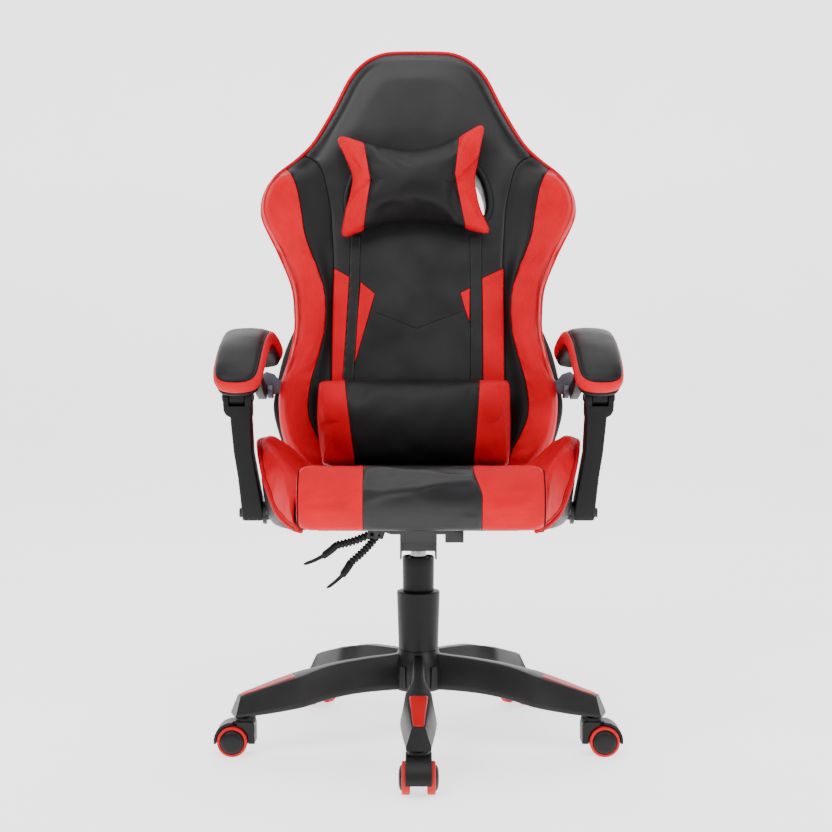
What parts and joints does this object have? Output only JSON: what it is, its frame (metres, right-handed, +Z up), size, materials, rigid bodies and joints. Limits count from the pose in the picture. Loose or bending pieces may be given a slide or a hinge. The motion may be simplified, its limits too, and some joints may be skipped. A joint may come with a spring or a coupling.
{
  "type": "gaming chair",
  "caption": "High-back bucket gaming chair on a swivel base with casters, with a reclining winged back, linked armrests, and head and lumbar pillows.",
  "frame": {"origin": "on the floor under the middle of the chair, on the axis of the gas lift", "axes": "+Z up; the sitter faces -Y; +X is to the left of the sitter"},
  "size_m": [0.6724, 0.7018, 1.2276],
  "materials": {
    "base_plastic": "satin",
    "painted_steel": "satin",
    "bright_steel": "satin",
    "chrome": "polished",
    "caster_red": "satin",
    "webbing": "matte",
    "black_leather": "satin",
    "red_leather": "satin",
    "lever_grip": "matte",
    "arm_plastic": "satin"
  },
  "bodies": {
    "base": {"star_base": "base_plastic", "outer_column": "painted_steel", "guide_bush": "base_plastic", "column_cover_lower": "base_plastic", "column_cover_upper": "base_plastic", "thrust_bearing": "bright_steel"},
    "piston": {"piston_rod": "bright_steel", "retaining_clip": "bright_steel"},
    "caster_1": {"caster_1_hood": "base_plastic", "caster_1_axle": "bright_steel"},
    "caster_1_wheel_a": {"caster_1_wheel_a": "caster_red"},
    "caster_1_wheel_b": {"caster_1_wheel_b": "caster_red"},
    "caster_2": {"caster_2_hood": "base_plastic", "caster_2_axle": "bright_steel"},
    "caster_2_wheel_a": {"caster_2_wheel_a": "caster_red"},
    "caster_2_wheel_b": {"caster_2_wheel_b": "caster_red"},
    "caster_3": {"caster_3_hood": "base_plastic", "caster_3_axle": "bright_steel"},
    "caster_3_wheel_a": {"caster_3_wheel_a": "caster_red"},
    "caster_3_wheel_b": {"caster_3_wheel_b": "caster_red"},
    "caster_4": {"caster_4_hood": "base_plastic", "caster_4_axle": "bright_steel"},
    "caster_4_wheel_a": {"caster_4_wheel_a": "caster_red"},
    "caster_4_wheel_b": {"caster_4_wheel_b": "caster_red"},
    "caster_5": {"caster_5_hood": "base_plastic", "caster_5_axle": "bright_steel"},
    "caster_5_wheel_a": {"caster_5_wheel_a": "caster_red"},
    "caster_5_wheel_b": {"caster_5_wheel_b": "caster_red"},
    "seat": {"gas_spring": "chrome", "release_button": "bright_steel", "mechanism_housing": "painted_steel", "seat_frame": "painted_steel", "seat_webbing": "webbing", "seat_cushion": "black_leather", "seat_bolster_left": "red_leather", "seat_bolster_right": "red_leather", "dust_cover": "webbing", "arm_cross_bracket": "painted_steel", "recline_pin": "bright_steel"},
    "back": {"back_frame": "painted_steel", "back_shell": "black_leather", "back_cushion": "black_leather", "back_wing_left": "red_leather", "back_wing_right": "red_leather", "arm_link_bracket_left": "painted_steel", "arm_link_bracket_right": "painted_steel"},
    "height_lever": {"height_lever": "lever_grip"},
    "recline_lever": {"recline_lever": "lever_grip"},
    "armrest_upright_left": {"arm_upright_left": "arm_plastic", "arm_bolt_left": "bright_steel"},
    "armrest_left": {"arm_base_left": "arm_plastic", "arm_pad_left": "black_leather"},
    "armrest_upright_right": {"arm_upright_right": "arm_plastic", "arm_bolt_right": "bright_steel"},
    "armrest_right": {"arm_base_right": "arm_plastic", "arm_pad_right": "black_leather"},
    "head_pillow": {"head_pillow": "black_leather", "head_strap": "webbing"},
    "lumbar_pillow": {"lumbar_pillow": "black_leather"}
  },
  "joints": [
    {"name": "caster_1_swivel", "type": "hinge", "parent": "base", "child": "caster_1", "pos_m": [0, -0.3, 0.06], "axis": [0, 0, 1], "continuous": true},
    {"name": "caster_1_spin_a", "type": "hinge", "parent": "caster_1", "child": "caster_1_wheel_a", "pos_m": [0, -0.32, 0.025], "axis": [1, 0, 0], "continuous": true},
    {"name": "caster_1_spin_b", "type": "hinge", "parent": "caster_1", "child": "caster_1_wheel_b", "pos_m": [0, -0.32, 0.025], "axis": [1, 0, 0], "continuous": true},
    {"name": "caster_2_swivel", "type": "hinge", "parent": "base", "child": "caster_2", "pos_m": [0.28532, -0.0927, 0.06], "axis": [0, 0, 1], "continuous": true},
    {"name": "caster_2_spin_a", "type": "hinge", "parent": "caster_2", "child": "caster_2_wheel_a", "pos_m": [0.30532, -0.0927, 0.025], "axis": [0, 1, 0], "continuous": true},
    {"name": "caster_2_spin_b", "type": "hinge", "parent": "caster_2", "child": "caster_2_wheel_b", "pos_m": [0.30532, -0.0927, 0.025], "axis": [0, 1, 0], "continuous": true},
    {"name": "caster_3_swivel", "type": "hinge", "parent": "base", "child": "caster_3", "pos_m": [0.17634, 0.24271, 0.06], "axis": [0, 0, 1], "continuous": true},
    {"name": "caster_3_spin_a", "type": "hinge", "parent": "caster_3", "child": "caster_3_wheel_a", "pos_m": [0.18809, 0.25888, 0.025], "axis": [-0.809, 0.5878, 0], "continuous": true},
    {"name": "caster_3_spin_b", "type": "hinge", "parent": "caster_3", "child": "caster_3_wheel_b", "pos_m": [0.18809, 0.25888, 0.025], "axis": [-0.809, 0.5878, 0], "continuous": true},
    {"name": "caster_4_swivel", "type": "hinge", "parent": "base", "child": "caster_4", "pos_m": [-0.17634, 0.24271, 0.06], "axis": [0, 0, 1], "continuous": true},
    {"name": "caster_4_spin_a", "type": "hinge", "parent": "caster_4", "child": "caster_4_wheel_a", "pos_m": [-0.18809, 0.25888, 0.025], "axis": [-0.809, -0.5878, 0], "continuous": true},
    {"name": "caster_4_spin_b", "type": "hinge", "parent": "caster_4", "child": "caster_4_wheel_b", "pos_m": [-0.18809, 0.25888, 0.025], "axis": [-0.809, -0.5878, 0], "continuous": true},
    {"name": "caster_5_swivel", "type": "hinge", "parent": "base", "child": "caster_5", "pos_m": [-0.28532, -0.0927, 0.06], "axis": [0, 0, 1], "continuous": true},
    {"name": "caster_5_spin_a", "type": "hinge", "parent": "caster_5", "child": "caster_5_wheel_a", "pos_m": [-0.30532, -0.0927, 0.025], "axis": [0, -1, 0], "continuous": true},
    {"name": "caster_5_spin_b", "type": "hinge", "parent": "caster_5", "child": "caster_5_wheel_b", "pos_m": [-0.30532, -0.0927, 0.025], "axis": [0, -1, 0], "continuous": true},
    {"name": "seat_swivel", "type": "hinge", "parent": "base", "child": "piston", "pos_m": [0, 0, 0.2], "axis": [0, 0, 1], "continuous": true},
    {"name": "seat_lift", "type": "slide", "parent": "piston", "child": "seat", "axis": [0, 0, 1], "range_m": [0, 0.08]},
    {"name": "back_recline", "type": "hinge", "parent": "seat", "child": "back", "pos_m": [0, 0.205, 0.4], "axis": [-1, 0, 0], "range_deg": [0, 35]},
    {"name": "height_lever_lift", "type": "hinge", "parent": "seat", "child": "height_lever", "pos_m": [-0.077, -0.06, 0.362], "axis": [0, 1, 0], "range_deg": [0, 12], "stiffness_Nm_per_rad": 0.3},
    {"name": "recline_lever_lift", "type": "hinge", "parent": "seat", "child": "recline_lever", "pos_m": [-0.068, -0.02, 0.356], "axis": [0, 1, 0], "range_deg": [0, 12], "stiffness_Nm_per_rad": 0.3},
    {"name": "armrest_upright_left_tilt", "type": "hinge", "parent": "seat", "child": "armrest_upright_left", "pos_m": [0.275, -0.075, 0.398], "axis": [-1, 0, 0], "range_deg": [0, 35]},
    {"name": "armrest_left_tilt", "type": "hinge", "parent": "armrest_upright_left", "child": "armrest_left", "pos_m": [0.295, -0.115, 0.59], "axis": [-1, 0, 0], "range_deg": [-35, 0]},
    {"name": "armrest_upright_right_tilt", "type": "hinge", "parent": "seat", "child": "armrest_upright_right", "pos_m": [-0.275, -0.075, 0.398], "axis": [-1, 0, 0], "range_deg": [0, 35]},
    {"name": "armrest_right_tilt", "type": "hinge", "parent": "armrest_upright_right", "child": "armrest_right", "pos_m": [-0.295, -0.115, 0.59], "axis": [-1, 0, 0], "range_deg": [-35, 0]},
    {"name": "head_pillow_slide", "type": "slide", "parent": "back", "child": "head_pillow", "axis": [0, 0.1392, 0.9903], "range_m": [-0.025, 0.025]},
    {"name": "lumbar_pillow_slide", "type": "slide", "parent": "back", "child": "lumbar_pillow", "axis": [0, 0.1392, 0.9903], "range_m": [-0.012, 0.1]}
  ],
  "couplings": [
    {"joint": "armrest_upright_left_tilt", "follows": "back_recline", "ratio": 1},
    {"joint": "armrest_left_tilt", "follows": "back_recline", "ratio": -1},
    {"joint": "armrest_upright_right_tilt", "follows": "back_recline", "ratio": 1},
    {"joint": "armrest_right_tilt", "follows": "back_recline", "ratio": -1}
  ]
}
